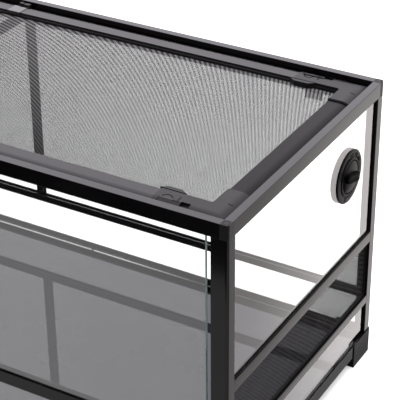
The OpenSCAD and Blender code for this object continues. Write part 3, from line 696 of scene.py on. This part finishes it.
# ---------------------------------------------------------------- floor and light
me = D.meshes.new("studio_floor")
me.from_pydata([(-9, -9, 0), (9, -9, 0), (9, 9, 0), (-9, 9, 0)], [], [(0, 1, 2, 3)])
floor = D.objects.new("studio_floor", me)
SC.collection.objects.link(floor)
fm, fnt = new_mat("studio_floor")
n = N(fnt)
o_, p_ = n("ShaderNodeOutputMaterial"), n("ShaderNodeBsdfPrincipled")
p_.inputs["Base Color"].default_value = (0.9, 0.9, 0.9, 1)
p_.inputs["Roughness"].default_value = 0.85
p_.inputs["Specular IOR Level"].default_value = 0.0
p_.inputs["Emission Color"].default_value = (1, 1, 1, 1)
p_.inputs["Emission Strength"].default_value = 0.34
n.link(p_.outputs[0], o_.inputs["Surface"])
me.materials.append(fm)
floor.visible_glossy = False


def area(name, loc, at, sx, sy, power, color=(1, 1, 1)):
    l = D.lights.new(name, "AREA")
    l.shape = "RECTANGLE"
    l.size, l.size_y = sx, sy
    l.energy = power
    l.color = color
    o = D.objects.new(name, l)
    o.location = loc
    o.rotation_euler = (Vector(at) - Vector(loc)).to_track_quat("-Z", "Y").to_euler()
    SC.collection.objects.link(o)
    o.visible_camera = False
    o.visible_glossy = False
    return o


area("softbox_above", (0.2, 0.3, 3.0), (0.1, 0.1, 0.0), 5.0, 5.0, 235)

# the front part of the pale table, seen only by polished surfaces
me = D.meshes.new("table_front")
me.from_pydata([(-3, -0.757, 0.0005), (3, -0.757, 0.0005), (3, -0.24, 0.0005), (-3, -0.24, 0.0005)], [], [(0, 1, 2, 3)])
card = D.objects.new("table_front", me)
SC.collection.objects.link(card)
tm, tnt = new_mat("table_front")
n = N(tnt)
to_, te = n("ShaderNodeOutputMaterial"), n("ShaderNodeEmission")
te.inputs["Color"].default_value = (1.0, 0.985, 0.985, 1)
te.inputs["Strength"].default_value = 0.46
n.link(te.outputs[0], to_.inputs["Surface"])
me.materials.append(tm)
for q, x0, x1 in (("right", W2 + 0.0005, W2 + 0.0215), ("left", -W2 - 0.0215, -W2 - 0.0005)):
    me = D.meshes.new("table_near_" + q)
    me.from_pydata([(x0, -0.3, 0.0006), (x1, -0.3, 0.0006), (x1, 0.6, 0.0006), (x0, 0.6, 0.0006)], [], [(0, 1, 2, 3)])
    near = D.objects.new("table_near_" + q, me)
    SC.collection.objects.link(near)
    nm, nnt = new_mat("table_near_" + q)
    n = N(nnt)
    no_, ne = n("ShaderNodeOutputMaterial"), n("ShaderNodeEmission")
    ne.inputs["Color"].default_value = (1.0, 0.98, 0.98, 1)
    ne.inputs["Strength"].default_value = 0.42
    n.link(ne.outputs[0], no_.inputs["Surface"])
    me.materials.append(nm)
    near.visible_camera = near.visible_diffuse = near.visible_shadow = near.visible_transmission = False
card.visible_camera = card.visible_diffuse = card.visible_shadow = card.visible_transmission = False

# a white room seen by polished surfaces: bright above and behind, dim low down in front
w = D.worlds.new("studio")
SC.world = w
w.use_nodes = True
w.cycles.sampling_method = "NONE"
nt = w.node_tree
nt.nodes.clear()
n = N(nt)


def wmath(kind, x, y=None, z=None):
    q = n("ShaderNodeMath", operation=kind)
    for i, v in enumerate((x, y, z)):
        if v is None:
            continue
        if isinstance(v, (int, float)):
            q.inputs[i].default_value = v
        else:
            n.link(v, q.inputs[i])
    return q.outputs[0]


def wbg(c, s):
    b = n("ShaderNodeBackground")
    b.inputs["Color"].default_value = (c, c, c, 1)
    if isinstance(s, (int, float)):
        b.inputs["Strength"].default_value = s
    else:
        n.link(s, b.inputs["Strength"])
    return b.outputs[0]


dirn = n("ShaderNodeTexCoord").outputs["Generated"]
sx = n("ShaderNodeSeparateXYZ")
n.link(dirn, sx.inputs[0])
dx, dy, dz = sx.outputs


def wmap(v, lo, hi, a, b):
    q = n("ShaderNodeMapRange", interpolation_type="SMOOTHSTEP")
    if isinstance(v, (int, float)):
        q.inputs["Value"].default_value = v
    else:
        n.link(v, q.inputs["Value"])
    for key, x in (("From Min", lo), ("From Max", hi), ("To Min", a), ("To Max", b)):
        q.inputs[key].default_value = x
    return q.outputs[0]


# above the horizon: brightest behind the tank, falling off towards the viewer and to the right
s1 = wmath("ADD", wmath("MULTIPLY_ADD", dx, 0.25, wmath("MULTIPLY", dy, 0.8)), wmath("MULTIPLY", dz, 0.6))
above = wmath("MULTIPLY", wmap(s1, -0.95, 0.85, 0.012, 2.15), wmap(dx, -0.35, 0.45, 1.0, 0.6))
# below it: the pale table to both sides, brighter towards the back
sid = wmath("DIVIDE", wmath("ABSOLUTE", dx), wmath("MAXIMUM", dy, 0.05))
below = wmath("MULTIPLY", wmap(sid, 0.54, 0.38, 0.6, 1.65), wmap(dy, 0.0, 0.5, 0.015, 1.0))
below = wmath("MULTIPLY", below, wmap(sid, 0.02, 0.28, 0.45, 1.0))
hor = wmap(dz, -0.04, 0.04, 0.0, 1.0)
gloss = wmath("ADD", wmath("MULTIPLY", above, hor), wmath("MULTIPLY", below, wmath("SUBTRACT", 1.0, hor)))
lp = n("ShaderNodeLightPath")
m1, m2 = n("ShaderNodeMixShader"), n("ShaderNodeMixShader")
n.link(lp.outputs["Is Glossy Ray"], m1.inputs[0])
n.link(wbg(1.0, 0.5), m1.inputs[1])
gb = n("ShaderNodeBackground")
n.link(gloss, gb.inputs["Strength"])
warm = n("ShaderNodeMapRange")
n.link(dz, warm.inputs["Value"])
warm.inputs["From Min"].default_value = -0.4
warm.inputs["From Max"].default_value = 0.4
n.link(mixc(n, warm.outputs[0], (1.0, 0.945, 0.94), (1.0, 0.965, 1.035)), gb.inputs["Color"])
n.link(gb.outputs[0], m1.inputs[2])
n.link(lp.outputs["Is Camera Ray"], m2.inputs[0])
n.link(m1.outputs[0], m2.inputs[1])
n.link(wbg(1.0, 1.05), m2.inputs[2])
wo = n("ShaderNodeOutputWorld")
n.link(m2.outputs[0], wo.inputs["Surface"])
